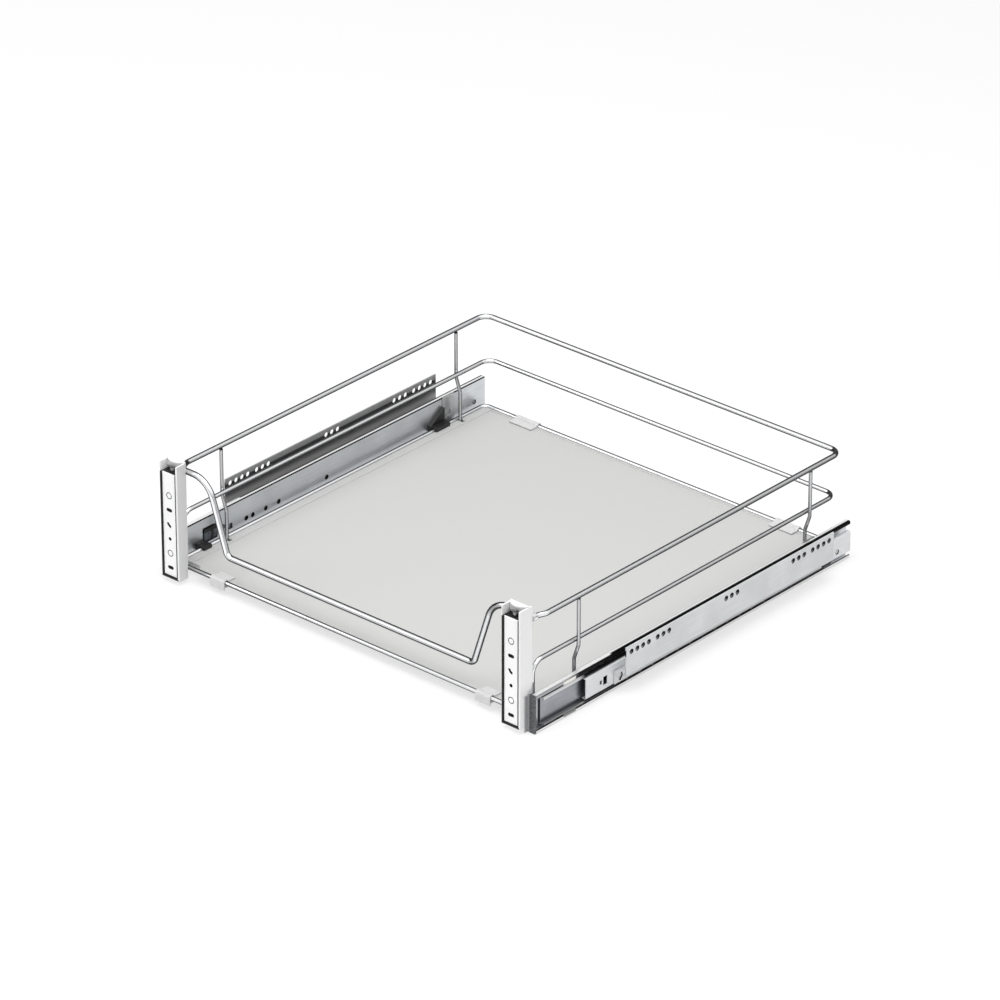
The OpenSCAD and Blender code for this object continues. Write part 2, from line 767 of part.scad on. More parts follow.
// Black insert in the post: a leg along each wall, a web behind the face plate, a foot and a top
module post_insert() {
    x = post_in_x + post_wall + insert_gap;
    w = post_w - 2 * (post_wall + insert_gap);
    foot = post_bottom_z + post_wall + insert_gap;
    depth = post_d - post_wall - insert_gap - insert_front_y;
    difference() {
        union() {
            for (leg_x = [x, x + w - insert_leg_t])
                translate([leg_x, insert_front_y, foot]) cube([insert_leg_t, depth, face_top_z - foot]);
            translate([x, web_y, foot]) cube([w, insert_web_t, face_top_z - foot]);
            translate([x, insert_front_y, foot]) cube([w, depth, insert_leg_t]);
            translate([x, web_y, face_top_z - insert_top_t])
                cube([w, insert_front_y + depth - web_y, insert_top_t]);
        }
        for (i = [1, 2, 3, 5])
            rod_y(face_mid_x, web_y - overrun, face_z(i), pilot_d, insert_web_t + 2 * overrun);
        for (i = [0, 4])
            rod_y(face_mid_x, web_y - overrun, face_z(i), face_rivet_shank_d + 2 * rivet_gap,
                insert_web_t + 2 * overrun);
        translate([face_mid_x, cap_screw_y, face_top_z - insert_top_t - overrun])
            cylinder(d = cap_screw_shank_d + 2 * rivet_gap, h = insert_top_t + 2 * overrun);
    }
}

// Square tube behind the post, with a hole in its side for each front wire
module post_carrier() {
    y = post_d + seat;
    d = carrier_rear_y - y;
    h = ring_z + carrier_over_ring - carrier_low_z;
    difference() {
        translate([carrier_in_x, y, carrier_low_z]) cube([carrier_w, d, h]);
        translate([carrier_in_x + carrier_wall, y + carrier_wall, carrier_low_z - overrun])
            cube([carrier_w - 2 * carrier_wall, d - 2 * carrier_wall, h + 2 * overrun]);
        rod_x(carrier_in_x - overrun, dip_y, dip_end_z, dip_d + end_gap, carrier_wall + 2 * overrun);
        rod_x(carrier_in_x - overrun, base_front_y, base_z, base_d + 2 * end_gap,
            carrier_wall + 2 * overrun);
        for (i = [0, 4])
            rod_y(face_mid_x, y - overrun, face_z(i), face_rivet_shank_d + 2 * rivet_gap,
                carrier_wall + 2 * overrun);
    }
}

// Steel plate in the front of the post that the front panel is screwed to
module face_plate() {
    w = post_w - 2 * (post_wall + face_gap);
    foot = post_bottom_z + post_wall + face_gap;
    difference() {
        translate([post_in_x + post_wall + face_gap, face_y, foot]) cube([w, face_t, face_top_z - foot]);
        panel_screw_holes(face_y - overrun, face_t + 2 * overrun);
        for (i = [0, 4]) rod_y(face_mid_x, face_y - overrun, face_z(i), face_ring_d, face_t + 2 * overrun);
    }
}

// Two rivets through the face plate, the insert, the post's rear wall and the carrier's front
module face_rivets() {
    head_t = face_t - 2 * seat;
    end_y = post_d + seat + carrier_wall;
    for (i = [0, 4]) {
        rod_y(face_mid_x, face_y + seat, face_z(i), face_ring_d - 2 * face_rivet_gap, head_t);
        rod_y(face_mid_x, face_y + head_t / 2, face_z(i), face_rivet_shank_d,
            end_y + rivet_head_t - face_y - head_t / 2);
        rod_y(face_mid_x, end_y + seat, face_z(i), face_rivet_shank_d + rivet_head_t, rivet_head_t);
    }
}

// White lid on the post's open top, with an arched front edge and a tongue down the rear wall
module post_cap() {
    z = post_top_z + lid_gap;
    w = post_w - 2 * (post_wall + insert_gap);
    rear = post_d - post_wall - insert_gap;
    translate([0, 0, z]) linear_extrude(lid_t) intersection() {
        translate([post_in_x, 0]) round_rect(post_w, post_d, post_corner);
        translate([face_mid_x, post_d - lid_reach + lid_arch_r]) circle(lid_arch_r);
    }
    translate([face_mid_x - w / 2, rear - lid_tongue_t, z - lid_tongue_h])
        cube([w, lid_tongue_t, lid_tongue_h + lid_t / 2]);
}

// Adjusting screw that stands in the insert's top
module cap_screw() {
    top = post_top_z - cap_screw_drop;
    difference() {
        union() {
            translate([face_mid_x, cap_screw_y, top - cap_screw_head_h])
                cylinder(d = cap_screw_d, h = cap_screw_head_h);
            translate([face_mid_x, cap_screw_y, top - cap_screw_len])
                cylinder(d = cap_screw_shank_d, h = cap_screw_len);
        }
        for (a = [45, 135])
            translate([face_mid_x, cap_screw_y, top]) rotate([0, 0, a])
                cube([cap_screw_d, cap_slot_w, 2 * cap_slot_w], center = true);
    }
}

// Short bush that holds the top ring's front end against the post's back
module ring_sleeve() {
    difference() {
        rod_y(ring_end_x, carrier_rear_y + seat, ring_z, ring_d + 2 * sleeve_wall, sleeve_len);
        rod_y(ring_end_x, carrier_rear_y - overrun, ring_z, ring_d + 2 * sleeve_gap,
            sleeve_len + 2 * overrun);
    }
}

// Tray clip: it grips the wire, and its tongue and jaw hold the panel's edge. It is drawn in Y and Z
// with the wire's centre at the origin and the panel on the right
module clip_section(wire_d) {
    grip = wire_d / 2 + clip_gap;
    top = tray_z - base_z + clip_gap + tray_rim_h;
    low = tray_z - tray_t - base_z - clip_gap;
    difference() {
        union() {
            circle(grip + clip_t);
            translate([0, top]) square([grip + clip_tongue, clip_t]);
            translate([-grip, low - clip_t]) square([2 * grip + clip_tongue / 2, clip_t]);
            translate([-grip - clip_t, -grip - clip_tab_h]) square([clip_t, grip + clip_tab_h]);
        }
        circle(grip);
        translate([0, low]) square([grip + clip_tongue + overrun, top - low]);
    }
}

module front_tray_clip() {
    translate([front_clip_x - front_clip_len / 2, base_front_y, base_z]) rotate([90, 0, 90])
        linear_extrude(front_clip_len) clip_section(base_d);
}

module rear_tray_clip() {
    translate([rear_clip_x - rear_clip_len / 2, base_rear_y, base_z]) rotate([90, 0, 90])
        linear_extrude(rear_clip_len) mirror([1, 0]) clip_section(base_d);
}

// Panel inside the base frame, with a low rim and round rear corners, cut away at the posts and
// cross wires
module tray_shape() {
    half = base_x - base_d / 2 - tray_gap;
    y0 = base_front_y + base_d / 2 + tray_gap;
    y1 = base_rear_y - base_d / 2 - tray_gap;
    notch = cross_d / 2 + tray_gap;
    notch_x = foot_x - foot_bend;
    difference() {
        union() {
            translate([-half, y0]) square([2 * half, y1 - tray_corner_r - y0]);
            translate([-half + tray_corner_r, y0]) square([2 * (half - tray_corner_r), y1 - y0]);
            for (side = [-1, 1])
                translate([side * (half - tray_corner_r), y1 - tray_corner_r]) circle(tray_corner_r);
        }
        for (side = [-1, 1]) {
            translate([side * tray_notch_x, y0]) circle(tray_notch_r);
            translate([side > 0 ? tray_notch_x : -half - overrun, y0 - overrun])
                square([half - tray_notch_x + overrun, tray_notch_y - y0 + overrun]);
            for (y = [front_cross_y, rear_cross_y])
                translate([side > 0 ? notch_x : -half - overrun, y - notch])
                    square([half - notch_x + overrun, 2 * notch]);
        }
    }
}

module tray() {
    half = base_x - base_d / 2 - tray_gap;
    inset = half - foot_x + foot_bend + tray_rim_w;
    y0 = tray_notch_y + tray_rim_w;
    y1 = base_rear_y - base_d / 2 - tray_gap - tray_rim_w;
    difference() {
        translate([0, 0, tray_z - tray_t]) linear_extrude(tray_t + tray_rim_h) tray_shape();
        translate([-half + inset, y0, tray_z]) cube([2 * (half - inset), y1 - y0, tray_rim_h + overrun]);
    }
}

// Wires of the basket
module ring_wire() {
    jog = ring_jog_y - ring_jog_len;
    side = [[-ring_end_x, ring_end_y, ring_z], [-ring_end_x, jog, ring_z], [-ring_x, ring_jog_y, ring_z],
        [-ring_x, ring_rear_y, ring_z]];
    wire(mirrored(side), ring_d, there_and_back([ring_jog_bend, ring_jog_bend, ring_bend]));
}

module lower_wire() {
    leg_foot = base_z + base_d / 2 + weld;
    side = [[-lower_x, leg_y, leg_foot], [-lower_x, leg_y, lower_z], [-lower_x, ring_rear_y, lower_z]];
    wire(mirrored(side), lower_d, there_and_back([lower_front_bend, ring_bend]));
}

module dip_shape() {
    side = [[-wire_end_x, dip_y, dip_end_z], [-(post_in_x - dip_high_inset), dip_y, dip_end_z],
        [-(post_in_x - dip_low_inset), dip_y, dip_low_z]];
    wire(mirrored(side), dip_d, there_and_back([dip_high_bend, dip_low_bend]));
}

module base_shape() {
    side = [[-base_x, carrier_rear_y + end_gap, base_z], [-base_x, base_rear_y, base_z]];
    wire(mirrored(side), base_d, there_and_back([base_bend]));
}

// A wire that hangs from the top ring, steps in below the lower ring and runs under the tray
module cross_shape(y) {
    top = ring_z - ring_d / 2 - weld;
    step_z = lower_z - lower_d;
    step_end_z = step_z - kink_slope * (upright_x - foot_x);
    under_z = tray_z - tray_t - weld - cross_d / 2;
    side = [[-upright_x, y, top], [-upright_x, y, step_z], [-foot_x, y, step_end_z], [-foot_x, y, under_z]];
    wire(mirrored(side), cross_d, there_and_back([kink_bend, kink_bend, foot_bend]));
}

module left_mounting_bracket() color(zinc) on_left() mounting_bracket();
module right_mounting_bracket() color(zinc) placed() mounting_bracket();
module left_cabinet_member() color(bright_zinc) on_left() cabinet_member();
module right_cabinet_member() color(bright_zinc) placed() cabinet_member();
module left_bracket_rivets() color(steel) on_left() bracket_rivets();
module right_bracket_rivets() color(steel) placed() bracket_rivets();
module left_rear_buffer() color(black_plastic) on_left() rear_buffer();
module right_rear_buffer() color(black_plastic) placed() rear_buffer();
module left_middle_member() color(zinc) on_left() middle_member();
module right_middle_member() color(zinc) placed() middle_member();
module left_outer_cage() color(black_plastic) on_left() outer_cage();
module right_outer_cage() color(black_plastic) placed() outer_cage();
module left_outer_balls() color(steel) on_left() outer_balls();
module right_outer_balls() color(steel) placed() outer_balls();
module left_inner_cage() color(pale_plastic) on_left() inner_cage();
module right_inner_cage() color(pale_plastic) placed() inner_cage();
module left_inner_balls() color(steel) on_left() inner_balls();
module right_inner_balls() color(steel) placed() inner_balls();
module left_basket_member() color(zinc) on_left() basket_member();
module right_basket_member() color(zinc) placed() basket_member();
module left_front_buffers() color(pale_plastic) on_left() front_buffers();
module right_front_buffers() color(pale_plastic) placed() front_buffers();
module left_release_lever() color(black_plastic) on_left() release_lever();
module right_release_lever() color(black_plastic) placed() release_lever();
module left_slide_bracket() color(zinc) on_left() slide_bracket();
module right_slide_bracket() color(zinc) placed() slide_bracket();
module left_front_catch() color(black_plastic) on_left() front_catch();
module right_front_catch() color(black_plastic) placed() front_catch();
module left_rear_catch() color(black_plastic) on_left() rear_catch();
module right_rear_catch() color(black_plastic) placed() rear_catch();
module left_rear_hook() color(zinc) on_left() rear_hook();
module right_rear_hook() color(zinc) placed() rear_hook();
module left_post() color(white_paint) on_left() post();
module right_post() color(white_paint) placed() post();
module left_post_insert() color(black_plastic) on_left() post_insert();
module right_post_insert() color(black_plastic) placed() post_insert();
module left_post_carrier() color(white_paint) on_left() post_carrier();
module right_post_carrier() color(white_paint) placed() post_carrier();
module left_face_plate() color(white_paint) placed() translate([-2 * face_mid_x, 0, 0]) face_plate();
module right_face_plate() color(white_paint) placed() face_plate();
module left_face_rivets() color(white_paint) on_left() face_rivets();
module right_face_rivets() color(white_paint) placed() face_rivets();
module left_post_cap() color(pale_plastic) on_left() post_cap();
module right_post_cap() color(pale_plastic) placed() post_cap();
module post_cap_screws() color(steel) {
    placed() cap_screw();
    on_left() cap_screw();
}
module ring_sleeves() color(bright_zinc) {
    placed() ring_sleeve();
    on_left() ring_sleeve();
}
module top_ring() color(chrome) placed() ring_wire();
module lower_ring() color(chrome) placed() lower_wire();
module dip_wire() color(chrome) placed() dip_shape();
module base_frame() color(chrome) placed() base_shape();
module front_base_wire() color(chrome) placed()
    rod_x(-wire_end_x, base_front_y, base_z, base_d, 2 * wire_end_x);
module front_cross_wire() color(chrome) placed() cross_shape(front_cross_y);
module rear_cross_wire() color(chrome) placed() cross_shape(rear_cross_y);
module tray_panel() color(tray_grey) placed() tray();
module front_tray_clips() color(clear_plastic) {
    placed() front_tray_clip();
    on_left() front_tray_clip();
}
module rear_tray_clips() color(clear_plastic) {
    placed() rear_tray_clip();
    on_left() rear_tray_clip();
}

left_mounting_bracket();
right_mounting_bracket();
left_cabinet_member();
right_cabinet_member();
left_bracket_rivets();
right_bracket_rivets();
left_rear_buffer();
right_rear_buffer();
left_middle_member();
right_middle_member();
left_outer_cage();
right_outer_cage();
left_outer_balls();
right_outer_balls();
left_inner_cage();
right_inner_cage();
left_inner_balls();
right_inner_balls();
left_basket_member();
right_basket_member();
left_front_buffers();
right_front_buffers();
left_release_lever();
right_release_lever();
left_slide_bracket();
right_slide_bracket();
left_front_catch();
right_front_catch();
left_rear_catch();
right_rear_catch();
left_rear_hook();
right_rear_hook();
left_post();
right_post();
left_post_insert();
right_post_insert();
left_post_carrier();
right_post_carrier();
left_face_plate();
right_face_plate();
left_face_rivets();
right_face_rivets();
left_post_cap();
right_post_cap();
post_cap_screws();
ring_sleeves();
top_ring();
lower_ring();
dip_wire();
base_frame();
front_base_wire();
front_cross_wire();
rear_cross_wire();
tray_panel();
front_tray_clips();
rear_tray_clips();
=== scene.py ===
"""Pull out cabinet basket: the looks of its wires, tray, posts and slides, in the part's own frame."""

import json
import math

import bpy
import numpy as np
from mathutils import Matrix


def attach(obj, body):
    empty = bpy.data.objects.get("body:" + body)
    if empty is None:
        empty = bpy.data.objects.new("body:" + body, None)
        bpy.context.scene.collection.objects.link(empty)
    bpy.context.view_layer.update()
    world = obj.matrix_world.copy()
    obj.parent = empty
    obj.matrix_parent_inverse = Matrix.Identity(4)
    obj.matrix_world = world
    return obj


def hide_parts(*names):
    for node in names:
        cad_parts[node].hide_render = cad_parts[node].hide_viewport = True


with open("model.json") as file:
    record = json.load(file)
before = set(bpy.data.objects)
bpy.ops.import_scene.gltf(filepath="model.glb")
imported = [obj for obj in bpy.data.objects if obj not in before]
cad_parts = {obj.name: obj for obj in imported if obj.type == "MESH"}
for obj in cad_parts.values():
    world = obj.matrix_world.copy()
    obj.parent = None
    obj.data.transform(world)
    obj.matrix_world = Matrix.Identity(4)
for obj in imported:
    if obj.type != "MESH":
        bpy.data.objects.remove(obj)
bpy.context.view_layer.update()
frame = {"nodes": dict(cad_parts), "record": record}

MM = 0.001
FRONT = -259.0  # the posts' front plane, in mm

WELD_GAP = 0.05  # between wires that are welded, in mm

# Wires, in mm: depths from the posts' front plane, heights from the slides' lowest edge. The cross wires'
# lean is how far they fall for each mm that they run inwards.
CARRIER_REAR = 23.5
RING = dict(x=250.0, z=123.6, d=6.0, rear=513.0, bend=13.0, end_x=245.8, end_y=23.6,
            jog=41.0, jog_len=10.0, jog_bend=11.0)
LOWER = dict(x=244.6, z=71.1, d=5.0, leg_y=26.1, bend=14.0)
BASE = dict(x=247.8, z=14.3, d=5.0, rear=509.5, front=20.0, bend=8.0)
DIP = dict(d=7.0, y=19.0, end_x=246.4, end_z=128.8, low_z=47.1, high_x=198.5, low_x=172.0,
           bends=(28.0, 8.0))
CROSS = dict(d=4.0, y=(92.0, 464.0), x=249.15, foot_x=243.25, kink=8.0, foot=6.0, lean=3.0)
TRAY_UNDERSIDE = 10.5

# Where finishes and the painted light and shade change, in mm: x is the distance from the middle plane, or
# the place itself where it concerns one side only, y the depth and z the height
BASKET_MEMBER = dict(web_x=(254.0, 256.2), lip_x=(260.0, 262.0), upper_lip_z=(39.8, 43.7),
                     lower_lip_z=(0.4, 4.0), lowest_z=(-1.0, 0.9), lower_fold_z=(3.2, 4.2),
                     top_z=(43.9, 45.0), crown_z=(42.8, 45.0), crown_inner_x=(250.0, 256.0),
                     crown_outer_x=(258.6, 262.0), lip_shadow_y=(63.0, 79.0), bracket_y=(128.0, 131.0), hole_r=3.1)
SLIDE = dict(front=13.0, length=505.0, hole_z=19.1)
WEB_HOLES = [(SLIDE["front"] + share * SLIDE["length"], SLIDE["hole_z"])
             for share in (0.24, 0.26, 0.3, 0.34, 0.49, 0.965)]
MIDDLE_MEMBER = dict(lip_x=(261.2, 263.0), lower_lip_z=(5.0, 8.8), lip_shadow_y=(77.0, 87.0),
                     web_back_x=(256.0, 257.35), front_end_y=(29.0, 27.0))
REAR_HOLE = dict(place=(493.0, 17.5), r=3.2)
BRACKET = dict(plate_x=(279.5, 282.5), row_z=(47.7, 55.1), leg_x=(264.0, 266.5), key_z=(11.5, 21.8),
               key_y=(131.0, 143.0), inner_x=(-281.48, -281.30), fade_z=(33.5, 38.5),
               band_foot_z=(39.5, 41.2), band_top_z=(51.5, 53.0))
POST = dict(right_line_x=(226.1, 227.7), left_line_x=(-249.8, -248.6), low_line_z=(6.1, 7.8),
            low_line_x=(226.2, 250.0), lines_z=(6.0, 130.0), left_inner_x=(-225.55, -220.0))
FACE_PLATE = dict(x=(230.2, 246.0), z=(11.0, 128.0))
SLIDE_BRACKET_DARK_X = (251.2, 254.5)
LOWER_PADS_Z = (22.0, 20.0)
WELD_MARK_Z = (118.6, 119.6)
LEVER = dict(web_z=(10.0, 26.2), bar_y=(78.5, 83.0))

# Greys of these zones, as sRGB values from 0 to 255; most are painted shade or painted highlights
TONE = dict(film=8, upper_lip=150, lower_lip=235, lowest=8, lower_fold=20, hole_shade_ring=14, top=252,
            crown_inner=16, crown_outer=8, middle_lip=225, middle_member_painted_light=10, middle_lower_lip=130, web_end=10,
            hole_wall=8, inner_low=172, inner_high=104, band=73, inner_top=173, plate_dark=76, plate_pale=108,
            post_shade_line=6, post_inner_shade=212, plate_hole=4, lever_dark=14, lever_web=88, lever_bar=16,
            lever_worn=70, lower_pad_grey=128, weld_scale=24)

# The camera, solved from the photograph: in degrees, metres and millimetres of film
CAMERA = dict(azimuth=41.403, elevation=27.620, place=(4.0311, -4.5767, 3.2710), lens=36 * 6.5424, film=36)


# Meshes
def mesh_object(name, points, faces):
    """A smooth mesh from points in mm, measured from the posts' front plane, and faces as index lists."""
    mesh = bpy.data.meshes.new(name)
    placed = (np.asarray(points, float).reshape(-1, 3) + (0.0, FRONT, 0.0)) * MM
    mesh.from_pydata(placed.tolist(), [], faces)
    mesh.polygons.foreach_set("use_smooth", np.ones(len(mesh.polygons), bool))
    mesh.update()
    obj = bpy.data.objects.new(name, mesh)
    bpy.context.scene.collection.objects.link(obj)
    return obj


def ring_faces(rows, cols):
    """Quads between neighbouring rows of a grid of points, whose last column joins the first."""
    i, j = np.meshgrid(np.arange(rows - 1), np.arange(cols), indexing="ij")
    n = (j + 1) % cols
    quads = np.stack([i * cols + j, i * cols + n, (i + 1) * cols + n, (i + 1) * cols + j], -1)
    return quads.reshape(-1, 4).tolist()


def unit(v):
    """Vectors scaled to length one."""
    v = np.asarray(v, float)
    return v / np.linalg.norm(v, axis=-1, keepdims=True)


def bent_path(corners, radii, step=4.0):
    """Straight runs between corners, each inner corner rounded. The arc's points are
    centre + r (a cos f + u sin f), where u is the run's direction, a points from the centre to the arc's
    start and f goes from 0 to the turn."""
    corners = np.asarray(corners, float)
    runs = unit(np.diff(corners, axis=0))
    points, along = [corners[:1]], [runs[:1]]
    for p, u, v, r in zip(corners[1:-1], runs[:-1], runs[1:], radii):
        turn = math.acos(float(np.clip(u @ v, -1, 1)))
        f = np.linspace(0, turn, max(2, math.ceil(math.degrees(turn) / step) + 1))[:, None]
        centre = p + unit(v - u) * r / math.cos(turn / 2)
        a = unit(p - u * r * math.tan(turn / 2) - centre)
        points.append(centre + r * (a * np.cos(f) + u * np.sin(f)))
        along.append(u * np.cos(f) - a * np.sin(f))
    points.append(corners[-1:])
    along.append(runs[-1:])
    return np.vstack(points), np.vstack(along)


def round_wire(name, corners, d, radii=(), sides=40):
    """A circle of diameter d carried along the bent path without twist. Its ends are rounded by a quarter
    circle of radius e: the wire's radius is d / 2 - e (1 - cos t) at the place e sin t, for t from 0 to 90
    degrees."""
    path, along = bent_path(corners, radii)
    e, rings = min(0.6, d / 6), 5
    t = np.linspace(0, math.pi / 2, rings)
    inset, push = e * (1 - np.cos(t)), e * (1 - np.sin(t))
    shift = np.concatenate([push[::-1], np.zeros(len(path)), -push])
    scale = np.concatenate([inset[::-1], np.zeros(len(path)), inset])
    rows = np.concatenate([np.zeros(rings, int), np.arange(len(path)), np.full(rings, len(path) - 1)])
    path, along = path[rows] + along[rows] * shift[:, None], along[rows]
    keep = np.ones(len(path), bool)
    keep[[rings, len(path) - rings - 1]] = False
    path, along, scale = path[keep], along[keep], scale[keep]
    side = np.empty_like(path)
    first = np.cross(along[0], (0, 0, 1.0) if abs(along[0][2]) < 0.9 else (1.0, 0, 0))
    side[0] = unit(first)
    for i in range(1, len(path)):
        side[i] = unit(side[i - 1] - (side[i - 1] @ along[i]) * along[i])
    other = np.cross(along, side)
    a = np.linspace(0, 2 * math.pi, sides, endpoint=False)[None, :, None]
    r = (d / 2 - scale)[:, None, None]
    points = path[:, None] + r * (side[:, None] * np.cos(a) + other[:, None] * np.sin(a))
    faces = ring_faces(len(path), sides)
    last = (len(path) - 1) * sides
    faces += [list(range(sides))[::-1], list(range(last, last + sides))]
    return mesh_object(name, points, faces)


def mirrored(side):
    """A list of points followed by its mirror across the middle plane."""
    return [tuple(p) for p in side] + [(-p[0], p[1], p[2]) for p in reversed(side)]


def there_and_back(values):
    """A list of values followed by the same values in reverse."""
    return list(values) + list(reversed(values))


# Shader node helpers
def add(tree, kind, inputs=(), **settings):
    """A shader node with its settings; inputs are (socket, value or output socket) pairs."""
    node = tree.nodes.new(kind)
    for key, value in settings.items():
        setattr(node, key, value)
    for key, value in inputs:
        socket = node.inputs[key]
        if isinstance(value, bpy.types.NodeSocket):
            tree.links.new(value, socket)
        else:
            socket.default_value = value
    return node


def sums(tree, operation, a, b):
    """A Math node's output."""
    return add(tree, "ShaderNodeMath", ((0, a), (1, b)), operation=operation).outputs[0]


def spread(tree, value, low, high, to_low=0.0, to_high=1.0):
    """The value mapped from low..high to to_low..to_high, clamped."""
    return add(tree, "ShaderNodeMapRange", (("Value", value), ("From Min", low), ("From Max", high),
                                            ("To Min", to_low), ("To Max", to_high))).outputs["Result"]


def tinted(tree, factor, a, b):
    """A mix of two colours."""
    node = add(tree, "ShaderNodeMix", (), data_type="RGBA")
    for socket, value in ((node.inputs[0], factor), (node.inputs[6], a), (node.inputs[7], b)):
        if isinstance(value, bpy.types.NodeSocket):
            tree.links.new(value, socket)
        else:
            socket.default_value = value
    return node.outputs[2]


def axes(tree, place):
    """Of a point, in mm: its distance from the middle plane, its depth from the posts' front plane, its
    height and its X."""
    scaled = add(tree, "ShaderNodeVectorMath", ((0, place), (1, (1 / MM,) * 3), (2, (0.0, -FRONT, 0.0))),
                 operation="MULTIPLY_ADD")
    parts = add(tree, "ShaderNodeSeparateXYZ", ((0, scaled.outputs[0]),)).outputs
    return sums(tree, "ABSOLUTE", parts["X"], 0.0), parts["Y"], parts["Z"], parts["X"]


def between(tree, value, ends, soft=0.2):
    """One where the value lies between the ends, in mm, with soft ends."""
    low, high = ends
    above = spread(tree, value, low - soft, low + soft)
    return both(tree, above, spread(tree, value, high - soft, high + soft, 1.0, 0.0))


def both(tree, *masks):
    """The product of some masks."""
    product = masks[0]
    for mask in masks[1:]:
        product = sums(tree, "MULTIPLY", product, mask)
    return product


def either(tree, *masks):
    """The largest of some masks."""
    largest = masks[0]
    for mask in masks[1:]:
        largest = sums(tree, "MAXIMUM", largest, mask)
    return largest


def walls(tree, axis):
    """One on faces that turn away from the given axis, such as the walls of holes through a sheet."""
    own = add(tree, "ShaderNodeNewGeometry").outputs["Normal"]
    along = add(tree, "ShaderNodeSeparateXYZ", ((0, own),)).outputs[axis]
    return spread(tree, sums(tree, "ABSOLUTE", along, 0.0), 0.3, 0.6, 1.0, 0.0)


def disc(tree, depth, height, place, r):
    """One within r of a place (depth, height) on a face across X, in mm, from the squared distance."""
    steps = [sums(tree, "SUBTRACT", value, centre) for value, centre in zip((depth, height), place)]
    squares = [sums(tree, "POWER", step, 2.0) for step in steps]
    return spread(tree, sums(tree, "ADD", *squares), (r - 0.4) ** 2, r ** 2, 1.0, 0.0)


def noise(tree, place, scale, detail, **inputs):
    """A noise texture's value."""
    pairs = [("Vector", place), ("Scale", scale), ("Detail", detail), *inputs.items()]
    return add(tree, "ShaderNodeTexNoise", pairs).outputs["Fac"]


def toned(tree, base, mask, tone, tint=(0, 0, 0)):
    """The base colour with another grey laid over it where the mask is one."""
    return tinted(tree, mask, base, rgb(tone, tint))


def group(name, inputs, outputs):
    """An empty node group with vector (v) or float (f) inputs and outputs."""
    tree = bpy.data.node_groups.new(name, "ShaderNodeTree")
    kinds = {"v": "NodeSocketVector", "f": "NodeSocketFloat"}
    for key, kind, value in inputs:
        socket = tree.interface.new_socket(name=key, in_out="INPUT", socket_type=kinds[kind])
        if value is not None:
            socket.default_value = value
    for key, kind in outputs:
        tree.interface.new_socket(name=key, in_out="OUTPUT", socket_type=kinds[kind])
    return tree, tree.nodes.new("NodeGroupInput"), tree.nodes.new("NodeGroupOutput")


def sheet_grain_group():
    """Fine lines along Y, as rolling leaves them in sheet metal, and slow clouds of tone."""
    tree, src, out = group("sheet grain", [("Vector", "v", None), ("Fineness", "f", 900.0)],
                           [("Lines", "f"), ("Clouds", "f")])
    place = src.outputs["Vector"]
    stretched = add(tree, "ShaderNodeMapping", (("Vector", place), ("Scale", (1.0, 0.03, 1.0)))).outputs[0]
    lines = noise(tree, stretched, src.outputs["Fineness"], 3.0, Roughness=0.6)
    tree.links.new(lines, out.inputs["Lines"])
    tree.links.new(noise(tree, place, 28.0, 4.0), out.inputs["Clouds"])
    return tree


def edge_group():
    """Where the surface turns a corner: one less the agreement of its own normal with a normal rounded over
    0.35 mm. Worn is that mask broken up by noise, and Round the rounded normal."""
    tree, src, out = group("worn edge", [("Vector", "v", None), ("Breakup", "f", 350.0)],
                           [("Worn", "f"), ("Round", "v")])
    rounded = add(tree, "ShaderNodeBevel", (("Radius", 0.35 * MM),), samples=6).outputs[0]
    own = add(tree, "ShaderNodeNewGeometry").outputs["Normal"]
    agree = add(tree, "ShaderNodeVectorMath", ((0, rounded), (1, own)), operation="DOT_PRODUCT")
    turned = spread(tree, agree.outputs["Value"], 0.995, 0.8)
    patches = spread(tree, noise(tree, src.outputs["Vector"], src.outputs["Breakup"], 2.0), 0.42, 0.62)
    tree.links.new(both(tree, turned, patches), out.inputs["Worn"])
    tree.links.new(rounded, out.inputs["Round"])
    return tree


def speckle_group():
    """Small spots: cells of a Voronoi pattern whose centre is near, kept where a second noise is high. Peel
    is a fine even noise."""
    tree, src, out = group("fine specks", [("Vector", "v", None), ("Density", "f", 400.0)],
                           [("Specks", "f"), ("Peel", "f")])
    place = src.outputs["Vector"]
    cells = add(tree, "ShaderNodeTexVoronoi", (("Vector", place), ("Scale", src.outputs["Density"])))
    near = spread(tree, cells.outputs["Distance"], 0.16, 0.06)
    kept = spread(tree, noise(tree, place, 60.0, 3.0), 0.55, 0.7)
    tree.links.new(both(tree, near, kept), out.inputs["Specks"])
    tree.links.new(noise(tree, place, 1100.0, 1.0), out.inputs["Peel"])
    return tree


SHEET_GRAIN, WORN_EDGE, SPECKLE = sheet_grain_group(), edge_group(), speckle_group()


def material(name):
    """A material with a Principled shader, and its tree, shader and object coordinates."""
    mat = bpy.data.materials.new(name)
    mat.use_nodes = True
    tree = mat.node_tree
    return mat, tree, tree.nodes["Principled BSDF"], add(tree, "ShaderNodeTexCoord").outputs["Object"]


def effect(tree, which, inputs):
    """One of the shared node groups, placed in a material."""
    node = add(tree, "ShaderNodeGroup")
    node.node_tree = which
    for key, value in inputs:
        if isinstance(value, bpy.types.NodeSocket):
            tree.links.new(value, node.inputs[key])
        else:
            node.inputs[key].default_value = value
    return node.outputs


def finish(tree, shader, base, gloss, normal):
    """Joins a material's colour, roughness and normal to its shader."""
    tree.links.new(base, shader.inputs["Base Color"])
    tree.links.new(gloss, shader.inputs["Roughness"])
    tree.links.new(normal, shader.inputs["Normal"])


def bump(tree, height, normal, strength, distance):
    """A surface raised by the height, over the rounded normal where there is one; distance in mm."""
    inputs = [("Height", height), ("Strength", strength), ("Distance", distance * MM)]
    if normal is not None:
        inputs.append(("Normal", normal))
    return add(tree, "ShaderNodeBump", inputs).outputs[0]


